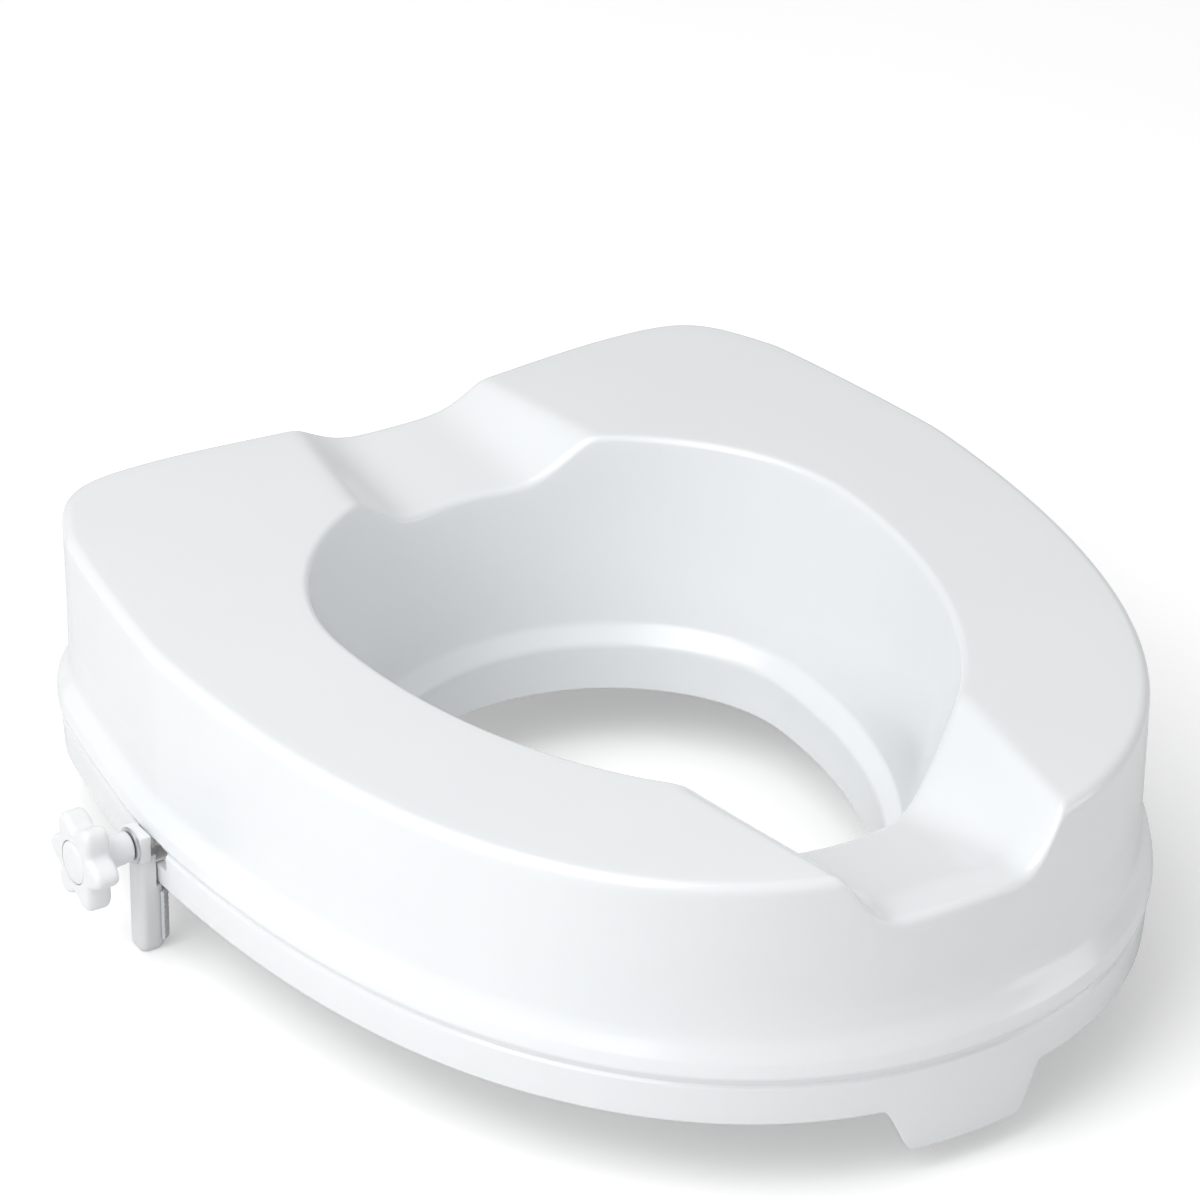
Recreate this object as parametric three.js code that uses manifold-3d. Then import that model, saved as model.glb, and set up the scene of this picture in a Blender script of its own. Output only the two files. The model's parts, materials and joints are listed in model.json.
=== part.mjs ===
// Raised toilet seat: a hollow moulded riser that stands on the rim of a toilet bowl and is held by
// two screw clamps, one on each side. Millimetres, +Z up, the front of the seat faces -Y.
// The origin is the middle of the rear rest pad's underside, so z = 0 is the plane of the bowl rim.

import * as THREE from 'three';
import { LoftGeometry } from 'three/addons/geometries/LoftGeometry.js';
import { mergeVertices } from 'three/addons/utils/BufferGeometryUtils.js';
import Module from 'manifold-3d';

const wasm = await Module();
wasm.setup();

// ---------------------------------------------------------------- driving dimensions

const DECK = 92; // height of the sitting surface over the bowl rim
const HALF_WIDTH = 187.5; // outer wall, at its widest place
const FRONT = -396.5; // outer wall at the front
const REAR = 36; // outer wall at the rear corners
const WIDEST = -112; // where along Y the wall is widest
const SKIN = 3; // moulded wall thickness
const GAP = 0.3; // clearance between separate pieces
const OPENING = { halfWidth: 120, centre: -139.3, front: 190.7, rear: 111.2 };
const BAND_FOOT = -9.5; // lower edge of the band that hides the joint with the bowl
const LUG = { drop: 20, halfWidth: 20.5, shoulder: 21 };
const FRONT_FLARE = { reach: 5, span: 0.12, low: 12, high: 40 }; // the band stands further out at the front
const FRONT_RECESS = { top: [48, 58], floor: [38, 44], depth: [18, 34] }; // at the wall, at the opening
const REAR_RECESS = { top: [44, 54], floor: [26, 34], depth: [8, 18] };
const RIB = { thickness: 2.4, foot: 3 };
const PAD = { length: 44, width: 16, height: 2.7, peg: 2, pegReach: 14, inset: 27 };
const CLAMP_Y = -110.3;
const SPINDLE = { radius: 3.5, z: 8.6, inner: 147, outer: 220.5 };
const HEAD = { inner: 194.5, outer: 199.9, halfWidth: 6.75, bottom: 2.6, top: 14.6 };
const LEG = { inner: 187.3, halfWidth: 5.5, bottom: -40.4, step: -10.3, outsideBand: 192.3 };
const TONGUE = { inner: 155, halfWidth: 5, bottom: 0.6, top: 1.9 }; // of the jaw, guided by the nut block
const NUT_BLOCK = { inner: 162, outer: 181, halfWidth: 10.5, flange: 25, bottom: 0.5, top: 21.6, deep: 4 };
const CHANNEL = { halfWidth: 5.4, top: 2.3 }; // in the nut block, for the jaw's tongue
const WALL_SLOT = { inner: 178, outer: 200, halfWidth: 13, bottom: 0.1, top: 12.6 };
const BRACKET_SCREW = { pitch: 18, shank: 1.9, head: 3.6, headHeight: 2.4, length: 16 };
const BOSS = { radius: 4.6, pilot: 2.25 }; // under the deck, for the bracket screws
const KNOB = { hubInner: 201.5, discInner: 215.3, outer: 226.3, lobes: 6, radius: 18.5, lobe: 3, bevel: 2.5 };
const CAP = { radius: 9, inner: 224.7, rim: 226, outer: 227, crown: 7.5 };
const WASHER_RADIUS = 7.6;
const CLIP = { outside: 4.4, seat: 4.9, seatDepth: 2.2 }; // between jaw and spindle
const STOP_RADIUS = 6; // ring on the spindle's inner end
const GROOVE_RADIUS = 2.7; // under both rings
const CLIP_GROOVE = [HEAD.inner + 0.2, HEAD.inner + 1.8];
const END_GROOVE = [SPINDLE.inner + 1, SPINDLE.inner + 3];
const HEX = { acrossFlats: 11, inner: SPINDLE.outer - 1, outer: SPINDLE.outer + 3.6 }; // head of the spindle

const STATIONS = 64; // cross-sections round the seat
const ROUND = 24; // facets round a turned piece
const FAR = 400; // longer than any feature of the seat

// ---------------------------------------------------------------- materials

const plastic = (color) => new THREE.MeshStandardMaterial({ color, roughness: 0.3, metalness: 0 });
const white = plastic(0xeef1f3);
const softWhite = plastic(0xe4e7e9);
const nylon = plastic(0xe9ebe8);
const rubber = new THREE.MeshStandardMaterial({ color: 0xd3d7d9, roughness: 0.85, metalness: 0 });
const steel = new THREE.MeshStandardMaterial({ color: 0xb9bcbf, roughness: 0.35, metalness: 0.9 });

// ---------------------------------------------------------------- solids

function solid(geometry) {
  const bare = new THREE.BufferGeometry();
  bare.setAttribute('position', geometry.getAttribute('position'));
  bare.setIndex(geometry.index);
  const merged = mergeVertices(bare, 1e-4);
  const vertProperties = merged.attributes.position.array;
  const triVerts = new Uint32Array(merged.index.array);
  return new wasm.Manifold(new wasm.Mesh({ numProp: 3, vertProperties, triVerts }));
}

const join = (first, ...others) => others.reduce((sum, other) => sum.add(other), first);
const cut = (body, ...tools) => tools.reduce((rest, tool) => rest.subtract(tool), body);

function block([x0, x1], [y0, y1], [z0, z1]) {
  const geometry = new THREE.BoxGeometry(x1 - x0, y1 - y0, z1 - z0);
  return solid(geometry.translate((x0 + x1) / 2, (y0 + y1) / 2, (z0 + z1) / 2));
}

// A rod along X at the spindle's height; six facets make a hexagon.
function rod(radius, x0, x1, facets = ROUND) {
  const geometry = new THREE.CylinderGeometry(radius, radius, x1 - x0, facets);
  return solid(geometry.rotateZ(-Math.PI / 2).translate((x0 + x1) / 2, 0, SPINDLE.z));
}

function post(radius, x, y, z0, z1) {
  const geometry = new THREE.CylinderGeometry(radius, radius, z1 - z0, ROUND);
  return solid(geometry.rotateX(Math.PI / 2).translate(x, y, (z0 + z1) / 2));
}

// A flat shape with square edges, drawn in X and Y and extruded from z = 0 to depth.
function prism(shape, depth, curveSegments) {
  return new THREE.ExtrudeGeometry(shape, { depth, bevelEnabled: false, curveSegments });
}

function raised(shape, z0, z1) {
  return solid(prism(shape, z1 - z0, 8).translate(0, 0, z0));
}

// A ring that opens on one side, standing across X at the spindle's height.
function clipRing(innerRadius, outerRadius, x0, x1) {
  const mouth = 0.5;
  const shape = new THREE.Shape();
  shape.absarc(0, 0, outerRadius, mouth, 2 * Math.PI - mouth, false);
  shape.absarc(0, 0, innerRadius, 2 * Math.PI - mouth, mouth, true);
  return solid(prism(shape, x1 - x0, 16).rotateY(Math.PI / 2).translate(x0, 0, SPINDLE.z));
}

function turned(profile) {
  const points = profile.map(([along, radius]) => new THREE.Vector2(radius, along));
  return solid(new THREE.LatheGeometry(points, ROUND).rotateZ(-Math.PI / 2).translate(0, 0, SPINDLE.z));
}

function mesh(name, body, material) {
  const made = body.getMesh();
  const geometry = new THREE.BufferGeometry();
  geometry.setAttribute('position', new THREE.BufferAttribute(made.vertProperties, 3));
  geometry.setIndex(new THREE.BufferAttribute(made.triVerts, 1));
  geometry.computeVertexNormals();
  const piece = new THREE.Mesh(geometry, material);
  piece.name = name;
  return piece;
}

// ---------------------------------------------------------------- plan outlines

// Half of a mirror-symmetric outline, from the middle of the front round +X to the middle of the rear.
// Each knot is its place, its heading in degrees from +X, and its handle lengths before and after.
function halfLoop(knots) {
  const path = new THREE.CurvePath();
  const ahead = ({ heading }) => {
    const angle = THREE.MathUtils.degToRad(heading);
    return new THREE.Vector2(Math.cos(angle), Math.sin(angle));
  };
  for (let i = 1; i < knots.length; i++) {
    const [from, to] = [knots[i - 1], knots[i]];
    const start = new THREE.Vector2(from.x, from.y);
    const end = new THREE.Vector2(to.x, to.y);
    const leave = start.clone().addScaledVector(ahead(from), from.after);
    const arrive = end.clone().addScaledVector(ahead(to), -to.before);
    path.add(new THREE.CubicBezierCurve(start, leave, arrive, end));
  }
  return path;
}

const REAR_DIP = 8; // the rear edge bows in towards its middle
const CORNER = { startX: 111.5, endX: 171.5, endY: REAR - 42, heading: 112 };
const wallLoop = halfLoop([
  { x: 0, y: FRONT, heading: 0, after: 122 },
  { x: HALF_WIDTH, y: WIDEST, heading: 90, before: 177, after: 16 },
  { x: CORNER.endX, y: CORNER.endY, heading: CORNER.heading, before: 10, after: 38 },
  { x: CORNER.startX, y: REAR, heading: 180, before: 40, after: 34 },
  { x: 0, y: REAR - REAR_DIP, heading: 180, before: 45 },
]);

const ROUNDNESS = 0.54; // handle length over radius: a little leaner than an ellipse's 0.55
const openingLoop = halfLoop([
  { x: 0, y: OPENING.centre - OPENING.front, heading: 0, after: ROUNDNESS * OPENING.halfWidth },
  {
    x: OPENING.halfWidth,
    y: OPENING.centre,
    heading: 90,
    before: ROUNDNESS * OPENING.front,
    after: ROUNDNESS * OPENING.rear,
  },
  { x: 0, y: OPENING.centre + OPENING.rear, heading: 180, before: ROUNDNESS * OPENING.halfWidth },
]);

// The place at share u of the whole loop (0 is the front, 0.25 on +X), moved outwards by offset.
function onLoop(loop, u, offset) {
  const mirrored = u > 0.5;
  const share = mirrored ? 2 - 2 * u : 2 * u;
  const at = loop.getPoint(share);
  const along = loop.getTangent(share);
  at.addScaledVector(new THREE.Vector2(along.y, -along.x), offset);
  return mirrored ? at.setX(-at.x) : at;
}

// ---------------------------------------------------------------- cross-section of the riser

const DECK_FILLET = 8; // outer edge of the deck
const LEAN = 0.8; // the wall's top stands this much further out than its foot
const RIM_FILLET = 4.5; // edge of the opening

// Outside: [out from the wall, height], from the deck down to the band's lower edge.
const outsideProfile = [
  ...[0, 30, 60, 90].map((degrees) => {
    const angle = THREE.MathUtils.degToRad(degrees);
    return [LEAN + DECK_FILLET * (Math.sin(angle) - 1), DECK + DECK_FILLET * (Math.cos(angle) - 1)];
  }),
  [0.3, 44],
  [0.5, 26],
  [3.6, 18.5], // flare into the bead
  [5.5, 12.8],
  [4.8, 9.6],
  [3.6, 8], // groove
  [4.3, 6.6],
  [3.4, BAND_FOOT],
];

// Inside: [in from the opening's edge, height], from the deck down to the splash collar's lip.
const insideProfile = [
  [-RIM_FILLET, DECK],
  [-RIM_FILLET * 0.3, DECK - RIM_FILLET * 0.3],
  [0, DECK - RIM_FILLET],
  [20, 15],
  [22, 12.5], // ledge
  [27, 8],
  [28, 3], // collar
  [29.5, -13],
];

// The unseen skins leave out the points of each profile that only round its surface.
const outsideUnder = [0, 2, 3, 5, 7, 9, 11];
const insideUnder = [0, 2, 3, 5, 7];

// Moves a profile inwards by depth, square to itself; its first point stays under the flat deck.
function thinned(profile, depth) {
  return profile.map((point, i) => {
    const before = profile[i - 1] ?? [point[0] - 1, point[1]];
    const after = profile[i + 1] ?? point;
    const run = new THREE.Vector2(after[0] - before[0], after[1] - before[1]).normalize();
    return [point[0] + depth * run.y, point[1] - depth * run.x];
  });
}

// Extra reach of the bead and the band round the front, fading towards the sides and up the wall.
function flare(u, z) {
  const { reach, span, low, high } = FRONT_FLARE;
  const { smoothstep } = THREE.MathUtils;
  return reach * (1 - smoothstep(Math.min(u, 1 - u), 0, span)) * (1 - smoothstep(z, low, high));
}

// The skin at share u, depth below the surface: up the inside, across the deck, down the outside.
function skin(u, depth) {
  const kept = (profile, under) => (depth ? under.map((i) => thinned(profile, depth)[i]) : profile);
  const place = (loop, offset, z) => {
    const at = onLoop(loop, u, offset);
    return new THREE.Vector3(at.x, at.y, z);
  };
  const inside = kept(insideProfile, insideUnder).map(([inset, z]) => place(openingLoop, -inset, z));
  const outside = kept(outsideProfile, outsideUnder).map(([x, z]) => place(wallLoop, x + flare(u, z), z));
  const middle = inside[0].clone().add(outside[0]).multiplyScalar(0.5);
  return [...inside.reverse(), middle, ...outside];
}

function ring(section) {
  const sections = [];
  for (let i = 0; i <= STATIONS; i++) sections.push(section((i % STATIONS) / STATIONS));
  return solid(new LoftGeometry(sections));
}

// ---------------------------------------------------------------- riser

// The trough of a hygiene recess, running along Y; grow makes the larger solid of its lining.
function trough({ top, floor, depth }, wallY, openingY, grow) {
  const beyond = 0.6; // the trough runs on past the wall and the opening by this share of its length
  const sections = [-beyond, 1 + beyond].map((share) => {
    const [topHalf, floorHalf, deep] = [top, floor, depth].map(([a, b]) => a + (b - a) * share);
    const y = wallY + (openingY - wallY) * share;
    const corners = [
      [floorHalf + grow, DECK - deep - grow],
      [topHalf + grow, DECK],
      [topHalf + grow, DECK + FAR],
    ];
    const right = corners.map(([x, z]) => new THREE.Vector3(x, y, z)).reverse();
    return [...corners.map(([x, z]) => new THREE.Vector3(-x, y, z)), ...right];
  });
  if (openingY < wallY) sections.reverse();
  return solid(new LoftGeometry(sections, { capStart: true, capEnd: true }));
}

const recesses = [
  [FRONT_RECESS, FRONT, OPENING.centre - OPENING.front],
  [REAR_RECESS, REAR, OPENING.centre + OPENING.rear],
];

// Radial webs under the deck, trimmed to the hollow and cleared round the nut blocks.
function webs(core) {
  const half = RIB.thickness / 2;
  const plates = [];
  const { x, y } = padPlaces.at(-1);
  const throughSidePad = THREE.MathUtils.radToDeg(Math.atan2(Math.abs(x), OPENING.centre - y));
  for (const degrees of [22, 50, throughSidePad, 140, 160]) {
    for (const side of [-1, 1]) {
      const plate = new THREE.BoxGeometry(RIB.thickness, FAR, FAR);
      plate.translate(0, -FAR / 2, 0).rotateZ(THREE.MathUtils.degToRad(side * degrees));
      plates.push(solid(plate.translate(0, OPENING.centre, 0)));
    }
  }
  plates.push(block([-half, half], [-2 * FAR, 2 * FAR], [-FAR, FAR]));
  for (const side of [-1, 1]) {
    const screwY = CLAMP_Y + side * BRACKET_SCREW.pitch;
    plates.push(block([-FAR, FAR], [screwY - half, screwY + half], [-FAR, FAR]));
  }
  const bays = [-1, 1].map((side) => {
    const reach = [side * (SPINDLE.inner - 2), side * (HALF_WIDTH + 1)].sort((a, b) => a - b);
    const breadth = NUT_BLOCK.flange + 2;
    return block(reach, [CLAMP_Y - breadth, CLAMP_Y + breadth], [-FAR, NUT_BLOCK.top + GAP]);
  });
  const hollow = core.intersect(block([-FAR, FAR], [-2 * FAR, FAR], [RIB.foot, DECK]));
  return cut(join(...plates).intersect(hollow), ...bays);
}

// The front lug: a tongue of the band that drops over the rim, with rounded shoulders.
function lug() {
  const reach = LUG.halfWidth + LUG.shoulder;
  const steps = 26;
  const outer = outsideProfile.at(-1)[0];
  const sections = [];
  for (let i = 0; i <= steps; i++) {
    const along = reach * ((2 * i) / steps - 1);
    const u = Math.abs(along) / (2 * wallLoop.getLength());
    const drop = LUG.drop * (1 - THREE.MathUtils.smoothstep(Math.abs(along), LUG.halfWidth - 2, reach - 2));
    const corner = (offset, z) => {
      const at = onLoop(wallLoop, u, offset + flare(u, BAND_FOOT));
      return new THREE.Vector3(Math.sign(along) * at.x, at.y, z);
    };
    sections.push([
      corner(outer - SKIN, BAND_FOOT - drop),
      corner(outer - SKIN, BAND_FOOT + 2.5),
      corner(outer, BAND_FOOT + 2.5),
      corner(outer, BAND_FOOT - drop),
    ]);
  }
  return solid(new LoftGeometry(sections, { capStart: true, capEnd: true }));
}

// Where the rest pads sit: front, rear and both sides, each with its turn about Z.
const padPlaces = [
  { name: 'rest_pad_rear', share: 0.5 },
  { name: 'rest_pad_front', share: 0 },
  { name: 'rest_pad_right', share: 0.215 },
  { name: 'rest_pad_left', share: 0.785 },
].map(({ name, share }) => {
  const at = onLoop(wallLoop, share, -PAD.inset);
  const out = onLoop(wallLoop, share, 0).sub(at);
  const turn = Math.abs(at.x) < 1 ? 0 : Math.atan2(out.y, out.x) + Math.PI / 2;
  return { name, x: at.x, y: name === 'rest_pad_rear' ? 0 : at.y, turn };
});

function atPad(geometry, { x, y, turn }) {
  return solid(geometry.rotateZ(turn).translate(x, y, 0));
}

function padSeat(place) {
  const plate = new THREE.BoxGeometry(PAD.length + 4, PAD.width + 4, SKIN);
  return atPad(plate.translate(0, 0, RIB.foot + SKIN / 2), place);
}

function pegs(place, radius, z0, z1) {
  return [-1, 1].map((side) => {
    const peg = new THREE.CylinderGeometry(radius, radius, z1 - z0, 12).rotateX(Math.PI / 2);
    return atPad(peg.translate(side * PAD.pegReach, 0, (z0 + z1) / 2), place);
  });
}

function seatShell() {
  const core = ring((u) => skin(u, SKIN / 2));
  const walls = ring((u) => [...skin(u, 0), ...skin(u, SKIN).reverse()]);
  const linings = recesses.map(([recess, wallY, openingY]) =>
    trough(recess, wallY, openingY, SKIN).intersect(core),
  );
  const troughs = recesses.map(([recess, wallY, openingY]) => trough(recess, wallY, openingY, 0));
  const seats = padPlaces.map((place) => padSeat(place).intersect(core));
  const pegHoles = padPlaces.flatMap((place) => pegs(place, PAD.peg + GAP, 0, RIB.foot + SKIN + 3));
  const bosses = [];
  const bores = [];
  for (const side of [-1, 1]) {
    const x = (side * (NUT_BLOCK.inner + NUT_BLOCK.outer)) / 2;
    for (const end of [-1, 1]) {
      const y = CLAMP_Y + end * BRACKET_SCREW.pitch;
      bosses.push(post(BOSS.radius, x, y, NUT_BLOCK.top + GAP, DECK));
      bores.push(post(BOSS.pilot, x, y, 0, NUT_BLOCK.top + BRACKET_SCREW.length));
    }
  }
  const slots = [-1, 1].map((side) => {
    const reach = [side * WALL_SLOT.inner, side * WALL_SLOT.outer].sort((a, b) => a - b);
    const breadth = [CLAMP_Y - WALL_SLOT.halfWidth, CLAMP_Y + WALL_SLOT.halfWidth];
    return block(reach, breadth, [WALL_SLOT.bottom, WALL_SLOT.top]);
  });
  const ribs = join(webs(core), ...bosses.map((boss) => boss.intersect(core)), ...seats);
  const whole = join(walls, lug(), ...linings, ribs);
  return cut(whole, ...troughs, ...slots, ...bores, ...pegHoles);
}

function restPad(place) {
  const shape = new THREE.Shape();
  const radius = PAD.width / 2;
  const straight = PAD.length / 2 - radius;
  shape.absarc(straight, 0, radius, -Math.PI / 2, Math.PI / 2, false);
  shape.absarc(-straight, 0, radius, Math.PI / 2, (3 * Math.PI) / 2, false);
  const plate = atPad(prism(shape, PAD.height, 8), place);
  return join(plate, ...pegs(place, PAD.peg, PAD.height / 2, RIB.foot + SKIN));
}

// ---------------------------------------------------------------- clamp, drawn on the +X side about y = 0

function jaw() {
  const { inner, halfWidth, bottom, step, outsideBand } = LEG;
  const edge = 1.5;
  const plan = new THREE.Shape(); // flat outside, round towards the bowl
  plan.absarc(inner + halfWidth, 0, halfWidth, Math.PI / 2, (3 * Math.PI) / 2, false);
  plan.absarc(HEAD.outer - edge, -halfWidth + edge, edge, -Math.PI / 2, 0, false);
  plan.absarc(HEAD.outer - edge, halfWidth - edge, edge, 0, Math.PI / 2, false);
  const round = 4.5;
  const above = 20;
  const front = new THREE.Shape(); // rounded below
  front.moveTo(inner, above);
  front.lineTo(inner, bottom + round);
  front.absarc(inner + round, bottom + round, round, Math.PI, (3 * Math.PI) / 2, false);
  front.absarc(HEAD.outer - round, bottom + round, round, (3 * Math.PI) / 2, 2 * Math.PI, false);
  front.lineTo(HEAD.outer, above);
  const depth = 4 * halfWidth;
  const tip = solid(prism(front, depth, 6).rotateX(Math.PI / 2).translate(0, depth / 2, 0));
  const leg = raised(plan, bottom - 1, HEAD.bottom + 2).intersect(tip);
  const band = block([inner - 1, outsideBand], [-depth, depth], [step, above]);
  const head = block([HEAD.inner, HEAD.outer], [-HEAD.halfWidth, HEAD.halfWidth], [HEAD.bottom, HEAD.top]);
  const breadth = [-TONGUE.halfWidth, TONGUE.halfWidth];
  const tongue = block([TONGUE.inner, HEAD.inner + 1], breadth, [TONGUE.bottom, TONGUE.top]);
  const bore = rod(SPINDLE.radius + GAP, HEAD.inner - 1, HEAD.outer + 1);
  const clipSeat = rod(CLIP.seat, HEAD.inner - 1, HEAD.inner + CLIP.seatDepth);
  return cut(join(cut(leg, band), head, tongue), bore, clipSeat);
}

function jawPad() {
  const { inner, halfWidth } = LEG;
  const wrap = THREE.MathUtils.degToRad(68);
  const thickness = 1.8;
  const shape = new THREE.Shape();
  const centre = inner + halfWidth;
  shape.absarc(centre, 0, halfWidth + GAP + thickness, Math.PI - wrap, Math.PI + wrap, false);
  shape.absarc(centre, 0, halfWidth + GAP, Math.PI + wrap, Math.PI - wrap, true);
  return raised(shape, LEG.bottom + 5, LEG.step - 3);
}

function nutBlock() {
  const { inner, outer, halfWidth, flange, bottom, top, deep } = NUT_BLOCK;
  const housing = block([inner, outer], [-halfWidth, halfWidth], [bottom, top - 1]);
  const plate = block([inner, outer], [-flange, flange], [top - deep, top]);
  const channel = block([inner - 1, outer + 1], [-CHANNEL.halfWidth, CHANNEL.halfWidth], [0, CHANNEL.top]);
  const holes = [-1, 1].map((side) =>
    post(BRACKET_SCREW.shank + GAP, (inner + outer) / 2, side * BRACKET_SCREW.pitch, 0, 2 * top),
  );
  return cut(join(housing, plate), channel, rod(SPINDLE.radius + GAP, inner - 1, outer + 1), ...holes);
}

function bracketScrew(side) {
  const x = (NUT_BLOCK.inner + NUT_BLOCK.outer) / 2;
  const y = side * BRACKET_SCREW.pitch;
  const seat = NUT_BLOCK.top - NUT_BLOCK.deep - 0.1;
  const head = post(BRACKET_SCREW.head, x, y, seat - BRACKET_SCREW.headHeight, seat);
  return join(head, post(BRACKET_SCREW.shank, x, y, seat - 1, seat + BRACKET_SCREW.length));
}

function spindle() {
  const { radius, inner, outer } = SPINDLE;
  const chamfer = 0.6;
  const body = turned([
    [inner, 0],
    [inner, radius - chamfer],
    [inner + chamfer, radius],
    ...[END_GROOVE, CLIP_GROOVE].flatMap(([from, to]) => [
      [from, radius],
      [from, GROOVE_RADIUS],
      [to, GROOVE_RADIUS],
      [to, radius],
    ]),
    [outer, radius],
    [outer, 0],
  ]);
  return join(body, rod(HEX.acrossFlats / Math.sqrt(3), HEX.inner, HEX.outer, 6));
}

function knob() {
  const { hubInner, discInner, outer, lobes, radius, lobe, bevel } = KNOB;
  const outline = [];
  const points = 8 * lobes;
  for (let i = 0; i < points; i++) {
    const angle = (i * 2 * Math.PI) / points;
    const reach = radius - bevel + lobe * Math.cos(lobes * angle);
    outline.push(new THREE.Vector2(reach * Math.cos(angle), reach * Math.sin(angle)));
  }
  const disc = new THREE.ExtrudeGeometry(new THREE.Shape(outline), {
    depth: outer - discInner - 2 * bevel,
    bevelThickness: bevel,
    bevelSize: bevel,
    bevelSegments: 2,
  });
  const lobed = solid(disc.rotateY(Math.PI / 2).translate(discInner + bevel, 0, SPINDLE.z));
  const hub = turned([
    [hubInner, 0],
    [hubInner, 6.2],
    [discInner - 1.5, 7.4],
    [discInner + 1, 9.5],
    [discInner + 1, 0],
  ]);
  const bore = rod(SPINDLE.radius + GAP, hubInner - 1, outer);
  const pocket = rod((HEX.acrossFlats + 2 * GAP) / Math.sqrt(3), HEX.inner - GAP, outer, 6);
  const capSeat = rod(CAP.radius + GAP, CAP.inner - GAP, outer + 1);
  return cut(join(lobed, hub), bore, pocket, capSeat);
}

function knobCap() {
  return turned([
    [CAP.inner, 0],
    [CAP.inner, CAP.radius],
    [CAP.rim, CAP.radius],
    [CAP.outer - GAP, CAP.crown],
    [CAP.outer, 0],
  ]);
}

function thrustWasher() {
  const tube = [HEAD.outer + GAP, KNOB.hubInner - GAP];
  return cut(rod(WASHER_RADIUS, ...tube), rod(SPINDLE.radius + GAP, tube[0] - 1, tube[1] + 1));
}

// A ring sprung into a groove of the spindle.
function grooveRing(outside, [from, to]) {
  return clipRing(GROOVE_RADIUS + GAP, outside, from + GAP, to - GAP);
}

function clamp(side) {
  const group = new THREE.Group();
  group.add(
    mesh(`nut_block_${side}`, nutBlock(), nylon),
    mesh(`block_screw_front_${side}`, bracketScrew(side === 'right' ? -1 : 1), steel),
    mesh(`block_screw_rear_${side}`, bracketScrew(side === 'right' ? 1 : -1), steel),
    mesh(`clamp_jaw_${side}`, jaw(), softWhite),
    mesh(`jaw_pad_${side}`, jawPad(), rubber),
    mesh(`clamp_spindle_${side}`, spindle(), nylon),
    mesh(`clamp_knob_${side}`, knob(), white),
    mesh(`knob_cap_${side}`, knobCap(), softWhite),
    mesh(`thrust_washer_${side}`, thrustWasher(), steel),
    mesh(`jaw_clip_${side}`, grooveRing(CLIP.outside, CLIP_GROOVE), steel),
    mesh(`end_stop_ring_${side}`, grooveRing(STOP_RADIUS, END_GROOVE), steel),
  );
  group.position.y = CLAMP_Y;
  group.rotation.z = side === 'right' ? 0 : Math.PI;
  return group;
}

// ---------------------------------------------------------------- assembly

const seat = new THREE.Group();
seat.add(mesh('seat_shell', seatShell(), white));
for (const place of padPlaces) seat.add(mesh(place.name, restPad(place), rubber));
seat.add(clamp('right'), clamp('left'));

export default seat;
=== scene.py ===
"""Looks of the raised toilet seat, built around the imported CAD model. Blender 4.5.

Every piece is drawn in millimetres in the row frame: +Z up, the front of the seat faces -Y, and z = 0 is
the plane of the bowl rim. The clamp is drawn once, on the +X side about y = 0, and placed twice.
"""

import json
import math

import bmesh
import bpy
import numpy as np
from mathutils import Matrix, Vector


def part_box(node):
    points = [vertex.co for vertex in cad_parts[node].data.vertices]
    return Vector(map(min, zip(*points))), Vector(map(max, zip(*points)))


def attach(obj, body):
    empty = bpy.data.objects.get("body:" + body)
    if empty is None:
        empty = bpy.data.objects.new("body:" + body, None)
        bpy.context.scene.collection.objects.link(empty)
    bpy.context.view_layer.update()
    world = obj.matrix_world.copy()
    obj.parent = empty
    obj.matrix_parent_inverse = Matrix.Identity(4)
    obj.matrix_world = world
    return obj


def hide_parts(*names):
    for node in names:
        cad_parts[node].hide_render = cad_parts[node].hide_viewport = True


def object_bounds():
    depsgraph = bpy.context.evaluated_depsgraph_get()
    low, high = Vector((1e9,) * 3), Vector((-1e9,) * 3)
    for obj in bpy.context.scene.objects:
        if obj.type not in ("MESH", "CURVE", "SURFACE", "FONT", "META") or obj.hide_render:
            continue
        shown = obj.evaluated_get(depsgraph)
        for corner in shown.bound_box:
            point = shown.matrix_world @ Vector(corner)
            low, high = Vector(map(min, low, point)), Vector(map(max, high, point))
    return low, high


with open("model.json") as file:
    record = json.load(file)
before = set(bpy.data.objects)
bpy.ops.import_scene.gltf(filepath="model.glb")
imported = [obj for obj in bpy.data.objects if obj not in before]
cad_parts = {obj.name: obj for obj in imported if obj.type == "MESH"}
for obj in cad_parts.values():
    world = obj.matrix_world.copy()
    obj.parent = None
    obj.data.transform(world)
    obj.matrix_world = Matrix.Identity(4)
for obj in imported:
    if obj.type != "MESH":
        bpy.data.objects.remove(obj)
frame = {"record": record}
cad_low, cad_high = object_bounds()

MM = 0.001
SIDES = {"right": 1, "left": -1}


def box_mm(node):
    """Lowest and highest corner of a CAD node, in millimetres."""
    low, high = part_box(node)
    return np.array(low) / MM, np.array(high) / MM


# ---------------------------------------------------------------- driving dimensions, from the frame

shell_low, shell_high = box_mm("seat_shell")
jaw_low, jaw_high = box_mm("clamp_jaw_right")
knob_low, knob_high = box_mm("clamp_knob_right")
block_low, block_high = box_mm("nut_block_right")
spindle_low, spindle_high = box_mm("clamp_spindle_right")

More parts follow.
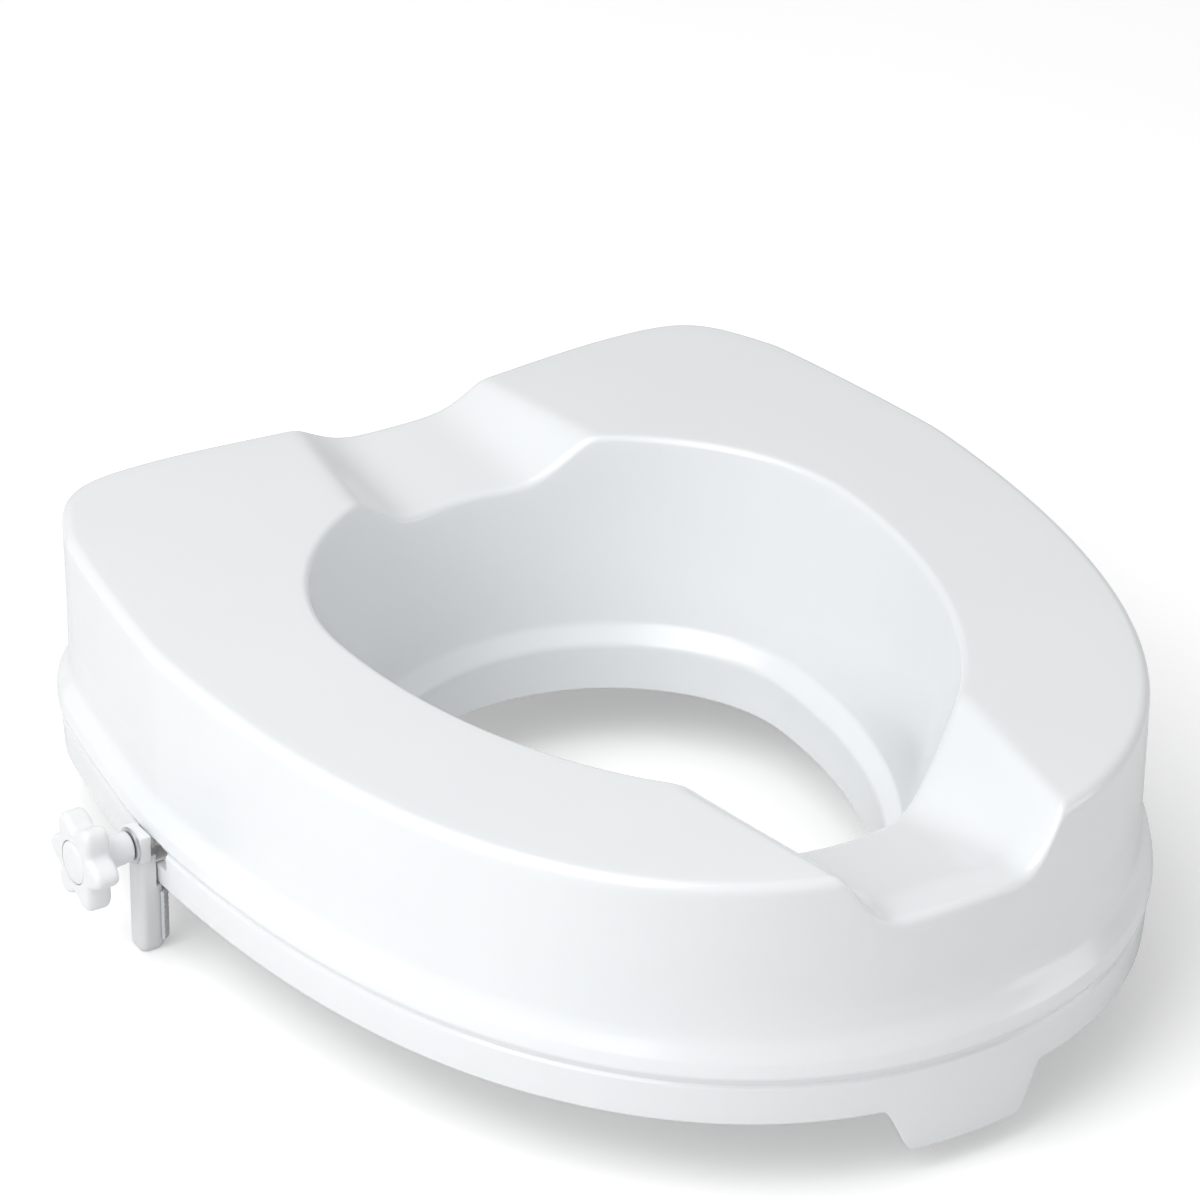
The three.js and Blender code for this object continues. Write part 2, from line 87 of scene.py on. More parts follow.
BEAD = 5.5  # how far the bead stands out from the wall
FRONT_FLARE = 5.0  # how much further the bead and the band stand out at the front
SKIN = 3.0  # thickness of the moulding
GAP = 0.3  # clearance between pieces that fit or move together
DECK = shell_high[2]
HALF_WIDTH = shell_high[0] - BEAD
FRONT = shell_low[1] + BEAD + FRONT_FLARE
REAR = shell_high[1] - BEAD
WIDEST = -112.0  # where the wall is widest, along Y
OPENING_HALF_WIDTH = 120.0
OPENING_CENTRE = -139.3  # where the opening is widest, along Y
OPENING_FRONT = 190.7  # from there to its front end
OPENING_REAR = 111.2
BAND_FOOT = -9.5  # height of the band's lower edge
LUG_DROP = BAND_FOOT - shell_low[2]
COLLAR_LIP = -13.0
CLAMP_Y = (jaw_low[1] + jaw_high[1]) / 2
AXIS_Z = 8.6  # height of the spindle

# ---------------------------------------------------------------- solids: points and faces

TRIM = 1.0  # how far a cutting solid reaches past what it cuts
CRISP = 0.01  # the rounding of an edge that stays sharp
ROUND_STEPS = 48
HEXAGON = 6


def tube(rings, looped=False):
    """Rings of equal length joined by quads: a closed tube with flat ends, or a ring if looped."""
    rings = np.asarray(rings, float)
    count, around = rings.shape[:2]
    index = np.arange(count * around).reshape(count, around)
    ahead = np.roll(index, -1, axis=0) if looped else index[1:]
    behind = index if looped else index[:-1]
    quads = np.stack([behind, np.roll(behind, -1, 1), np.roll(ahead, -1, 1), ahead], axis=-1)
    faces = quads.reshape(-1, 4).tolist()
    if not looped:
        faces += [index[0, ::-1].tolist(), index[-1].tolist()]
    return rings.reshape(-1, 3), faces


def to_mesh(solid):
    """A mesh in metres with its faces out."""
    points, faces = solid
    mesh = bpy.data.meshes.new("solid")
    mesh.from_pydata((np.asarray(points) * MM).tolist(), [], faces)
    work = bmesh.new()
    work.from_mesh(mesh)
    bmesh.ops.recalc_face_normals(work, faces=work.faces)
    if work.calc_volume(signed=True) < 0:
        bmesh.ops.reverse_faces(work, faces=work.faces)
    work.to_mesh(mesh)
    work.free()
    return mesh


def boolean(base, tool, operation):
    """base joined with, cut by or kept inside tool; all are meshes."""
    holders = [bpy.data.objects.new("boolean", mesh) for mesh in (base, tool)]
    for holder in holders:
        bpy.context.scene.collection.objects.link(holder)
    modifier = holders[0].modifiers.new("boolean", "BOOLEAN")
    modifier.operation = operation
    modifier.solver = "MANIFOLD"
    modifier.object = holders[1]
    evaluated = holders[0].evaluated_get(bpy.context.evaluated_depsgraph_get())
    result = bpy.data.meshes.new_from_object(evaluated)
    for holder in holders:
        bpy.data.objects.remove(holder)
    return result


def join(base, *others):
    for other in others:
        base = boolean(base, other, "UNION")
    return base


def cut(base, *tools):
    for tool in tools:
        base = boolean(base, tool, "DIFFERENCE")
    return base


def arc(centre, radius, start, end, steps):
    """Points of an arc in a plane, from start to end degrees."""
    angles = np.radians(np.linspace(start, end, steps))
    return np.stack([centre[0] + radius * np.cos(angles), centre[1] + radius * np.sin(angles)], axis=-1)


def inward(outline, inset):
    """A closed counterclockwise outline moved inwards, square to itself."""
    along = np.roll(outline, -1, 0) - np.roll(outline, 1, 0)
    along /= np.linalg.norm(along, axis=1)[:, None]
    return outline + inset * np.stack([-along[:, 1], along[:, 0]], axis=-1)


def edge_steps(low, high, radius, steps=5):
    """Levels from low to high with the inset at each, so that both end edges are rounded."""
    turn = np.radians(np.linspace(0, 90, steps))
    inset = radius * (1 - np.sin(turn))
    rise = radius * (1 - np.cos(turn))
    levels = np.concatenate([low + rise, (high - rise)[::-1]])
    return zip(levels, np.concatenate([inset, inset[::-1]]))


def upright(outline, low, high, radius):
    """An outline in X and Y raised from low to high, with rounded end edges."""
    rings = []
    for level, inset in edge_steps(low, high, radius):
        ring = inward(outline, inset)
        rings.append(np.column_stack([ring, np.full(len(ring), level)]))
    return to_mesh(tube(rings))


def sideways(outline, low, high, radius):
    """An outline about the spindle's axis, in Y and Z, drawn out along X with rounded end edges."""
    rings = []
    for level, inset in edge_steps(low, high, radius):
        ring = inward(outline, inset)
        rings.append(np.column_stack([np.full(len(ring), level), ring[:, 0], ring[:, 1] + AXIS_Z]))
    return to_mesh(tube(rings))


def rounded_rectangle(x_span, y_span, radius):
    (x0, x1), (y0, y1) = x_span, y_span
    corner_steps = 6
    corners = [(x1, y1, 0), (x0, y1, 90), (x0, y0, 180), (x1, y0, 270)]
    pieces = []
    for x, y, start in corners:
        centre = (x - radius * np.sign(x - (x0 + x1) / 2), y - radius * np.sign(y - (y0 + y1) / 2))
        pieces.append(arc(centre, radius, start, start + 90, corner_steps))
    return np.concatenate(pieces)


def rounded_block(x_span, y_span, z_span, radius):
    return upright(rounded_rectangle(x_span, y_span, radius), *z_span, radius)


def sharp_prism(plan, z_span):
    """A plan in X and Y raised with sharp edges."""
    return to_mesh(tube([[(x, y, z) for x, y in plan] for z in z_span]))


def rectangle(x_span, y_span):
    (x0, x1), (y0, y1) = x_span, y_span
    return [(x0, y0), (x1, y0), (x1, y1), (x0, y1)]


def sharp_block(x_span, y_span, z_span):
    """A plain box, only used as a web or to cut or trim."""
    return sharp_prism(rectangle(x_span, y_span), z_span)


def circle(radius, steps=ROUND_STEPS):
    return arc((0, 0), radius, 0, 360 - 360 / steps, steps)


def rod(radius, low, high, edge=CRISP, steps=ROUND_STEPS):
    """A rod along the spindle's axis; six steps make a hexagon."""
    return sideways(circle(radius, steps), low, high, edge)


def post(radius, x, y, low, high, edge=CRISP):
    post_steps = 32
    return upright(circle(radius, post_steps) + [x, y], low, high, edge)


def along_x(x, radius, angles):
    """A ring about the spindle's axis, at x."""
    across = np.stack([radius * np.cos(angles), radius * np.sin(angles) + AXIS_Z], axis=-1)
    return np.column_stack([np.full(len(angles), x), across])


def turned(profile, looped=False):
    """A profile of (place along X, radius) turned about the spindle's axis."""
    steps = 64
    on_axis = 0.02  # the smallest radius, so that no face has a zero edge
    angles = np.radians(np.arange(steps) * 360 / steps)
    return to_mesh(tube([along_x(x, max(radius, on_axis), angles) for x, radius in profile], looped))


# ---------------------------------------------------------------- plan outlines

CURVE_POINTS = 400  # on each stretch between two knots


class Outline:
    """Half of a mirror-symmetric outline, from the middle of the front round +X to the middle of the rear.

    Each knot is x, y, heading in degrees from +X, and its handle lengths before and after.
    """

    def __init__(self, knots):
        t = np.linspace(0, 1, CURVE_POINTS)[:, None]
        places = []
        for start, end in zip(knots, knots[1:]):
            a, d = np.array(start[:2]), np.array(end[:2])
            b = a + start[4] * self.direction(start[2])
            c = d - end[3] * self.direction(end[2])
            places.append(a * (1 - t) ** 3 + 3 * b * t * (1 - t) ** 2 + 3 * c * t * t * (1 - t) + d * t**3)
        points = np.concatenate([places[0]] + [part[1:] for part in places[1:]])
        steps = np.linalg.norm(np.diff(points, axis=0), axis=1)
        along = np.concatenate([[0], np.cumsum(steps)])
        run = np.gradient(points, along, axis=0)
        heading = np.unwrap(np.arctan2(run[:, 1], run[:, 0]))
        heading[0], heading[-1] = 0, math.pi
        self.length = along[-1]
        self.share, self.points, self.heading = along / along[-1], points, heading

    @staticmethod
    def direction(degrees):
        return np.array([math.cos(math.radians(degrees)), math.sin(math.radians(degrees))])

    def at(self, u, offset):
        """Places at shares u of the whole loop (0 is the front, 0.25 on +X), moved outwards by offset."""
        share = np.where(u > 0.5, 2 - 2 * u, 2 * u)
        heading = np.interp(share, self.share, self.heading)
        x = np.interp(share, self.share, self.points[:, 0]) + offset * np.sin(heading)
        y = np.interp(share, self.share, self.points[:, 1]) - offset * np.cos(heading)
        return np.stack([np.where(u > 0.5, -x, x), y], axis=-1)


REAR_DIP = 8.0  # how far the rear hollows in at its middle
CORNER = (171.5, REAR - 42)  # where the side turns into the rear corner
CORNER_END = 111.5  # half the rear's width between its corners
wall_outline = Outline(
    [
        (0, FRONT, 0, 0, 122),
        (HALF_WIDTH, WIDEST, 90, 177, 16),
        (*CORNER, 112, 10, 38),
        (CORNER_END, REAR, 180, 40, 34),
        (0, REAR - REAR_DIP, 180, 45, 0),
    ]
)

ROUNDNESS = 0.54  # of the opening: handle length over half-axis, nearly that of an ellipse
opening_outline = Outline(
    [
        (0, OPENING_CENTRE - OPENING_FRONT, 0, 0, ROUNDNESS * OPENING_HALF_WIDTH),
        (OPENING_HALF_WIDTH, OPENING_CENTRE, 90, ROUNDNESS * OPENING_FRONT, ROUNDNESS * OPENING_REAR),
        (0, OPENING_CENTRE + OPENING_REAR, 180, ROUNDNESS * OPENING_HALF_WIDTH, 0),
    ]
)

# ---------------------------------------------------------------- cross-section of the riser

DECK_FILLET = 8.0
LEAN = 0.8  # how far the deck's edge stands out from the wall's outline
BAND = 3.4  # how far the band's lower edge stands out from the wall
RIM_FILLET = 4.5
LIP_EDGE = 1.2
FILLET_SHARE = 0.48  # the most that one corner's rounding takes of the stretch beside it
FILLET_STEP = 9  # degrees
LONGEST_STRETCH = 6.0
DECK_ROWS = 22  # stretches of the section across the deck
CORE_ROWS = 12


def rounded_path(corners):
    """A path with rounded corners; each corner is (offset, height, radius)."""
    path = [np.array(corners[0][:2], float)]
    for before, corner, after in zip(corners, corners[1:], corners[2:]):
        here = np.array(corner[:2], float)
        back, on = np.array(before[:2]) - here, np.array(after[:2]) - here
        reach_back, reach_on = np.linalg.norm(back), np.linalg.norm(on)
        back, on = back / reach_back, on / reach_on
        half = math.acos(np.clip(back @ on, -1, 1)) / 2
        cutoff = min(corner[2] / math.tan(half), FILLET_SHARE * reach_back, FILLET_SHARE * reach_on)
        radius = cutoff * math.tan(half)
        middle = here + (back + on) / np.linalg.norm(back + on) * radius / math.sin(half)
        start, end = here + back * cutoff - middle, here + on * cutoff - middle
        turn = math.pi - 2 * half
        steps = max(3, math.ceil(math.degrees(turn) / FILLET_STEP))
        for share in np.linspace(0, 1, steps + 1):
            weights = math.sin((1 - share) * turn), math.sin(share * turn)
            path.append(middle + (start * weights[0] + end * weights[1]) / math.sin(turn))
    path.append(np.array(corners[-1][:2], float))
    return np.array(path)


def divided(path):
    """The path with its long stretches divided evenly."""
    points = [path[0]]
    for a, b in zip(path, path[1:]):
        parts = max(1, math.ceil(np.linalg.norm(b - a) / LONGEST_STRETCH))
        points += [a + (b - a) * (i + 1) / parts for i in range(parts)]
    return np.array(points)


# Outside: out from the wall, height and corner radius, from the deck down to the band's lower edge.
OUTSIDE = [
    (-DECK_FILLET - 1, DECK, 0),
    (LEAN, DECK, DECK_FILLET),
    (0.3, 44, 60),
    (0.5, 26, 12),
    (4.7, 17.5, 4),
    (5.8, 12.2, 2.2),
    (3.3, 8.4, 0.7),
    (4.4, 6.9, 1.0),
    (BAND, BAND_FOOT, 0.9),
    (BAND - SKIN, BAND_FOOT, 0.9),
]
OUTSIDE_UNDER = [(0.7, 7, 4), (2.6, 12.8, 4), (-2.5, 26, 8), (-2.7, 44, 60), (LEAN - SKIN, DECK - SKIN, 5)]

# Inside: in from the opening's edge, from the deck down to the splash collar's lip.
LEDGE, LEDGE_HEIGHT = 20.4, 14.2
COLLAR = 29.5  # how far in the splash collar hangs
INSIDE = [
    (-RIM_FILLET - 1, DECK, 0),
    (0, DECK, RIM_FILLET),
    (LEDGE, LEDGE_HEIGHT, 6),
    (27.4, 7.4, 5),
    (COLLAR, COLLAR_LIP, LIP_EDGE),
    (COLLAR - SKIN, COLLAR_LIP, LIP_EDGE),
]
INSIDE_UNDER = [(24.4, 4.6, 5), (17.2, 12.0, 5), (-SKIN, DECK - SKIN, 2)]
TAPER = LEDGE / (DECK - LEDGE_HEIGHT)  # of the inner wall


def section():
    """The closed section: share of the way from opening to wall, both offsets, and height of each point."""
    end_out = (-SKIN - DECK_FILLET, DECK - SKIN, 0)
    end_in = (-SKIN - RIM_FILLET, DECK - SKIN, 0)
    outside = divided(rounded_path(OUTSIDE + OUTSIDE_UNDER + [end_out]))
    inside = divided(rounded_path(INSIDE + INSIDE_UNDER + [end_in]))
    rows = [(0, -x, 0, z) for x, z in inside[::-1]]
    for i in range(1, DECK_ROWS):
        rows.append((i / DECK_ROWS, -inside[0][0], outside[0][0], DECK))
    rows += [(1, 0, x, z) for x, z in outside]
    for i in range(DECK_ROWS - 1, 0, -1):
        rows.append((i / DECK_ROWS, -inside[-1][0], outside[-1][0], DECK - SKIN))
    return np.array(rows)


# The middle of the skin below its deck: out from the wall or in from the opening's edge, and height.
CORE_OUTSIDE = [(-1.2, 44), (-1.0, 26), (4.0, 13), (2.1, 8)]
CORE_INSIDE = [(18.8, 13), (25.2, 6)]
CORE_FOOT = (2.2, 26.4)  # the last offsets of each


def core_section(depth, foot):
    """The section filled in, from a skin's middle down to foot: what the ribs are trimmed to."""
    outside = [(-depth, DECK - depth), *CORE_OUTSIDE, (CORE_FOOT[0], foot)]
    inside = [(-depth, DECK - depth), *CORE_INSIDE, (CORE_FOOT[1], foot)]
    rows = [(0, -x, 0, z) for x, z in inside[::-1]]
    rows += [(i / CORE_ROWS, depth, -depth, DECK - depth) for i in range(1, CORE_ROWS)]
    rows += [(1, 0, x, z) for x, z in outside]
    return np.array(rows)


# ---------------------------------------------------------------- recesses and lug, as smooth deformations


def smoothstep(value, low, high):
    """0 up to low and 1 from high, with an S-curve between them."""
    t = np.clip((value - low) / (high - low), 0, 1)
    return t * t * (3 - 2 * t)


def soft_ramp(q, low_round, high_round):
    """0 below q = 0 and 1 above q = 1, with both corners rounded over the given reach."""
    h = np.maximum(low_round - np.abs(q), 0) / low_round
    rising = np.maximum(q, 0) + h**3 * low_round / 6
    h = np.maximum(high_round - np.abs(rising - 1), 0) / high_round
    return np.minimum(rising, 1) - h**3 * high_round / 6


# Each recess: half-width at the deck and at its floor, and its depth, at the wall and at the opening;
# roll is how far its floor curves down on its way out to the wall.
FRONT_RECESS = {
    "wall": FRONT,
    "opening": OPENING_CENTRE - OPENING_FRONT,
    "top": (48, 58),
    "floor": (35, 39),
    "depth": (18, 34),
    "roll": 4,
}
REAR_RECESS = {
    "wall": REAR,
    "opening": OPENING_CENTRE + OPENING_REAR,
    "top": (44, 54),
    "floor": (26, 34),
    "depth": (8, 18),
    "roll": 0,
}
TAPER_REACH = (-0.2, 1.35)  # how far past the wall and the opening a recess goes on changing its size
FLOOR_ROUND, EDGE_ROUND = 0.95, 0.35  # rounding of its foot and edge, as shares of its side
ROLL_END = 0.3  # share of the way in where the floor has stopped rolling down
RECESS_FADE = (18, 88)  # heights between which the skin's drop goes from none to all
FLARE_END = 0.12  # share of the way round where the front's extra reach has ended
FLARE_FADE = (12, 40)
LUG_SHOULDER = (22.5, 35.5)  # along the wall from its middle: where the lug starts to rise and its end
LUG_TOP = 2  # height above which the skin isn't drawn down


def recess_depth(x, y, recess):
    share = np.clip((y - recess["wall"]) / (recess["opening"] - recess["wall"]), *TAPER_REACH)
    top, floor, depth = (
        recess[key][0] + (recess[key][1] - recess[key][0]) * share for key in ("top", "floor", "depth")
    )
    side = soft_ramp((np.abs(x) - floor) / (top - floor), FLOOR_ROUND, EDGE_ROUND)
    depth = depth + recess["roll"] * (1 - smoothstep(share, 0, ROLL_END))
    own_end = (y < OPENING_CENTRE) == (recess["wall"] < OPENING_CENTRE)
    return np.where(own_end, depth * (1 - side), 0)


def flare(u, height):
    """Extra reach of the bead and the band round the front, fading towards the sides and up the wall."""
    along = 1 - smoothstep(np.minimum(u, 1 - u), 0, FLARE_END)
    return FRONT_FLARE * along * (1 - smoothstep(height, *FLARE_FADE))


def swept(rows, u):
    """The section rows carried round the seat at the shares u, with the recesses and the lug in it."""
    share, inner, outer, height = rows.T
    u = u[:, None]
    flat = np.broadcast_to
    shape = (len(u), len(rows))
    inside = opening_outline.at(flat(u, shape), flat(inner, shape))
    outside = wall_outline.at(flat(u, shape), outer + flare(u, height))
    plan = inside + (outside - inside) * share[:, None]
    depth = recess_depth(plan[..., 0], plan[..., 1], FRONT_RECESS)
    depth = depth + recess_depth(plan[..., 0], plan[..., 1], REAR_RECESS)
    depth = depth * smoothstep(height, *RECESS_FADE)
    inset = TAPER * depth * (1 - share) ** 2
    one_inwards = opening_outline.at(flat(u, shape), flat(inner - 1.0, shape)) - inside
    plan = plan + one_inwards * inset[..., None]
    from_middle = wall_outline.length * 2 * np.minimum(u, 1 - u)
    drop = LUG_DROP * (1 - smoothstep(from_middle, *LUG_SHOULDER))
    drop = drop * (1 - smoothstep(height, BAND_FOOT, LUG_TOP))
    drop = np.where(share == 1, drop, 0)
    return np.dstack([plan, height - depth - drop])


FINE_STATIONS = 4001  # the even stations from which the others are worked out
EXTRA_CLOSE = 2  # how many more there are near the middle, for one elsewhere
CLOSE_FADE = (70, 90)  # from the middle, along X


def stations(count):
    """Shares of the way round, closer together where the recess sides and the lug's shoulders pass."""
    u = np.linspace(0, 1, FINE_STATIONS)
    x = wall_outline.at(u, 0)[:, 0]
    closeness = 1 + EXTRA_CLOSE * (1 - smoothstep(np.abs(x), *CLOSE_FADE))
    total = np.concatenate([[0], np.cumsum((closeness[1:] + closeness[:-1]) / 2)])
    return np.interp(np.arange(count) / count, total / total[-1], u)


# ---------------------------------------------------------------- seat shell

RIB = 2.4
RIB_FOOT = 3.0
RIB_ANGLES = (0, 22, 50, 110.3, 140, 160, 180)  # degrees from the front, about the opening's centre
SCREW_PITCH = 18.0
SCREW_LENGTH = 16.0
BOSS_RADIUS, PILOT_RADIUS = 4.6, 2.25
BLOCK_X = (block_low[0] + block_high[0]) / 2
BAY_MARGIN = 2.0  # room beside the nut block, along Y
BAY_HALF = (block_high[1] - block_low[1]) / 2 + BAY_MARGIN
SLOT_X, SLOT_HALF, SLOT_Z = (178.0, 200.0), 13.0, (0.1, 12.6)  # in the wall, for the jaw and spindle
PAD_LENGTH, PAD_WIDTH, PAD_HEIGHT, PAD_INSET = 44.0, 16.0, 2.7, 27.0
PEG_RADIUS, PEG_REACH = 2.0, 14.0
SIDE_PAD_SHARE = 0.215  # of the way round, from the front
PAD_SEAT_MARGIN = 2.0
PAD_SEAT_EDGE = 0.4
SLOT_EDGE = 1.2
SHELL_STATIONS, CORE_STATIONS = 640, 320


def pad_places():
    """Each rest pad's node, its middle and its turn about Z."""
    places = []
    for name in ("rest_pad_rear", "rest_pad_front", "rest_pad_right", "rest_pad_left"):
        low, high = box_mm(name)
        x, y = (low[:2] + high[:2]) / 2
        turn = 0.0
        if abs(x) > 1:
            u = SIDE_PAD_SHARE if x > 0 else 1 - SIDE_PAD_SHARE
            near, far = wall_outline.at(np.array([u, u]), np.array([-PAD_INSET, 0.0]))
            turn = math.atan2(*(far - near)[::-1]) + math.pi / 2
        places.append((name, x, y, turn))
    return places


def turn_and_place(points, x, y, turn):
    c, s = math.cos(turn), math.sin(turn)
    points = np.asarray(points, float)
    return points @ np.array([[c, s], [-s, c]]) + [x, y]


def both_sides(low, high, side):
    """A span along X, mirrored for the side."""
    return sorted((side * low, side * high))


def ribs():
    """Webs, bosses for the bracket screws and seats for the rest pads, trimmed to the hollow."""
    far = 400.0  # past the wall
    plates = []
    for degrees in sorted({side * angle for angle in RIB_ANGLES for side in (-1, 1)}):
        plan = rectangle((-RIB / 2, RIB / 2), (-far, -TRIM))
        plan = turn_and_place(plan, 0, OPENING_CENTRE, math.radians(degrees))
        plates.append(sharp_prism(plan, (RIB_FOOT, DECK)))
    for side in SIDES.values():
        x = side * BLOCK_X
        for end in (-1, 1):
            y = CLAMP_Y + end * SCREW_PITCH
            span = both_sides(OPENING_HALF_WIDTH / 2, far, side)
            plates.append(sharp_block(span, (y - RIB / 2, y + RIB / 2), (RIB_FOOT, DECK)))
            plates.append(post(BOSS_RADIUS, x, y, block_high[2] + GAP, DECK))
    for _, x, y, turn in pad_places():
        half_length, half_width = PAD_LENGTH / 2 + PAD_SEAT_MARGIN, PAD_WIDTH / 2 + PAD_SEAT_MARGIN
        plan = rounded_rectangle((-half_length, half_length), (-half_width, half_width), PAD_SEAT_MARGIN)
        plates.append(upright(turn_and_place(plan, x, y, turn), RIB_FOOT, RIB_FOOT + SKIN, PAD_SEAT_EDGE))
    core = to_mesh(tube(swept(core_section(SKIN / 2, RIB_FOOT), stations(CORE_STATIONS)), looped=True))
    trimmed = [boolean(plate, core, "INTERSECT") for plate in plates]
    bays = []
    for side in SIDES.values():
        span = both_sides(spindle_low[0] - 2 * TRIM, HALF_WIDTH + TRIM, side)
        bays.append(sharp_block(span, (CLAMP_Y - BAY_HALF, CLAMP_Y + BAY_HALF), (0, block_high[2] + GAP)))
    return cut(join(*trimmed), *bays)


def seat_shell():
    """The hollow moulding with its ribs, the clamps' slots and the holes for screws and pegs."""
    skin = to_mesh(tube(swept(section(), stations(SHELL_STATIONS)), looped=True))
    whole = join(skin, ribs())
    cuts = []
    for side in SIDES.values():
        span = both_sides(*SLOT_X, side)
        cuts.append(rounded_block(span, (CLAMP_Y - SLOT_HALF, CLAMP_Y + SLOT_HALF), SLOT_Z, SLOT_EDGE))
        for end in (-1, 1):
            y = CLAMP_Y + end * SCREW_PITCH
            cuts.append(post(PILOT_RADIUS, side * BLOCK_X, y, 0, block_high[2] + SCREW_LENGTH))
    for _, x, y, turn in pad_places():
        for end in (-1, 1):
            hole_x, hole_y = turn_and_place([(end * PEG_REACH, 0)], x, y, turn)[0]
            cuts.append(post(PEG_RADIUS + GAP, hole_x, hole_y, 0, RIB_FOOT + 2 * SKIN))
    return cut(whole, *cuts)


def rest_pad(x, y, turn):
    """A stadium of rubber with grooves across its underside and two pegs."""
    radius = PAD_WIDTH / 2
    straight = PAD_LENGTH / 2 - radius
    end_steps = 20
    ends = [arc((straight, 0), radius, -90, 90, end_steps), arc((-straight, 0), radius, 90, 270, end_steps)]
    plate_edge, peg_edge = 0.5, 0.4
    plate = upright(turn_and_place(np.concatenate(ends), x, y, turn), 0, PAD_HEIGHT, plate_edge)
    groove_half, groove_depth, groove_pitch, grooves_each_way = 0.6, 0.6, 4, 4
    grooves = []
    for step in range(-grooves_each_way, grooves_each_way + 1):
        low, high = step * groove_pitch - groove_half, step * groove_pitch + groove_half
        plan = turn_and_place(rectangle((low, high), (-PAD_WIDTH, PAD_WIDTH)), x, y, turn)
        grooves.append(sharp_prism(plan, (-TRIM, groove_depth)))
    pegs = []
    for end in (-1, 1):
        peg_x, peg_y = turn_and_place([(end * PEG_REACH, 0)], x, y, turn)[0]
        pegs.append(post(PEG_RADIUS, peg_x, peg_y, PAD_HEIGHT / 2, RIB_FOOT + SKIN, peg_edge))
    return join(cut(plate, *grooves), *pegs)


# ---------------------------------------------------------------- clamp pieces, on the +X side about y = 0

# Jaw and jaw pad.
HEAD_INNER, HEAD_OUTER, HEAD_BOTTOM = 194.5, jaw_high[0], 2.6
HEAD_HALF = jaw_high[1] - CLAMP_Y
HEAD_EDGE = 0.9
LEG_INNER, LEG_HALF = 187.3, 5.5
LEG_CORNER, LEG_END_ROUND = 3.5, 4.0
LEG_STEP, LEG_OUTSIDE_BAND = -10.3, 192.3  # above the step the leg is cut back to clear the band
TONGUE_HALF, TONGUE_Z, TONGUE_EDGE = 5.0, (0.6, 1.9), 0.4
CLIP_SEAT_RADIUS, CLIP_SEAT_DEPTH = 4.9, 2.2
SLEEVE_SKIN = 1.8  # the jaw pad's rubber
SLEEVE_ARC = (112, 248)
GRIP_RIB, GRIP_PITCH = 0.2, 2.4

# Nut block and its screws.
BLOCK_HALF, BLOCK_PLATE, BLOCK_EDGE = 10.5, 4.0, 0.8
CHANNEL_HALF, CHANNEL_TOP = 5.4, 2.3  # in the nut block, for the jaw's tongue
SCREW_HOLE = 2.2
SCREW_HEAD_RADIUS, SCREW_HEAD_HEIGHT, SCREW_HEAD_EDGE = 3.6, 2.4, 0.8
CROSS_HALF, CROSS_ARM, CROSS_DEPTH = 2.0, 0.45, 1.3
SCREW_CREST, SCREW_THREAD, SCREW_THREAD_PITCH = 1.9, 0.45, 1.4

# Spindle and the rings in its grooves.
SPINDLE_RADIUS = 3.5
CLIP_GROOVE = (HEAD_INNER + 0.2, HEAD_INNER + 1.8)
END_GROOVE = (spindle_low[0] + 1, spindle_low[0] + 3)
GROOVE_RADIUS = 2.7
CLIP_RADIUS, END_RING_RADIUS = 4.4, 6.0
THREAD_PITCH, THREAD_DEPTH = 3.0, 0.7
THREAD_END, THREAD_RUN_OUT = HEAD_INNER - 1.5, 2.0
HEX_RADIUS, HEX_HEIGHT, HEX_EDGE = 11 / math.sqrt(3), 3.6, 0.4
HEX_POCKET = (HEX_HEIGHT + 1.3, 0.35)  # its depth from the spindle's outer end and its clearance

# Knob, cap and washer.
HUB_INNER, HUB_RADIUS, HUB_SPREAD = knob_low[0], (6.2, 7.4), 10.5
DISC_INNER, DISC_EDGE = 215.3, 3.0
LOBES, LOBE_REACH, LOBE_WAVE = 6, 17.6, 3.0
CAP_SEAT_RADIUS, CAP_SEAT_DEPTH = 9.3, 1.9
WASHER_RADIUS, WASHER_EDGE = 7.6, 0.15


def clamp_jaw():
    """A head outside the band, a leg beside the bowl and a tongue that slides in the nut block."""
    round_steps, corner_steps = 28, 12
    corner_x = HEAD_OUTER - LEG_CORNER
    outline = np.concatenate(
        [
            arc((LEG_INNER + LEG_HALF, 0), LEG_HALF, 90, 270, round_steps),
            arc((corner_x, -LEG_HALF + LEG_CORNER), LEG_CORNER, 270, 360, corner_steps),
            arc((corner_x, LEG_HALF - LEG_CORNER), LEG_CORNER, 0, 90, corner_steps),
        ]
    )
    flatness = 0.6  # the rounding's reach inwards over its height
    rings = []
    for turn in np.radians(np.linspace(0, 90, corner_steps)):
        ring = inward(outline, flatness * LEG_END_ROUND * (1 - math.sin(turn)))
        level = jaw_low[2] + LEG_END_ROUND * (1 - math.cos(turn))
        rings.append(np.column_stack([ring, np.full(len(ring), level)]))
    rings.append(np.column_stack([outline, np.full(len(outline), HEAD_BOTTOM + 2 * TRIM)]))
    leg = to_mesh(tube(rings))
    head_y = (-HEAD_HALF, HEAD_HALF)
    band = sharp_block((LEG_INNER - TRIM, LEG_OUTSIDE_BAND), head_y, (LEG_STEP, DECK))
    head = rounded_block((HEAD_INNER, HEAD_OUTER), head_y, (HEAD_BOTTOM, jaw_high[2]), HEAD_EDGE)
    tongue_x = (jaw_low[0], HEAD_INNER + TRIM)
    tongue = rounded_block(tongue_x, (-TONGUE_HALF, TONGUE_HALF), TONGUE_Z, TONGUE_EDGE)
    bore = rod(SPINDLE_RADIUS + GAP, HEAD_INNER - TRIM, HEAD_OUTER + TRIM)
    clip_seat = rod(CLIP_SEAT_RADIUS, HEAD_INNER - TRIM, HEAD_INNER + CLIP_SEAT_DEPTH)
    return cut(join(cut(leg, band), head, tongue), bore, clip_seat)


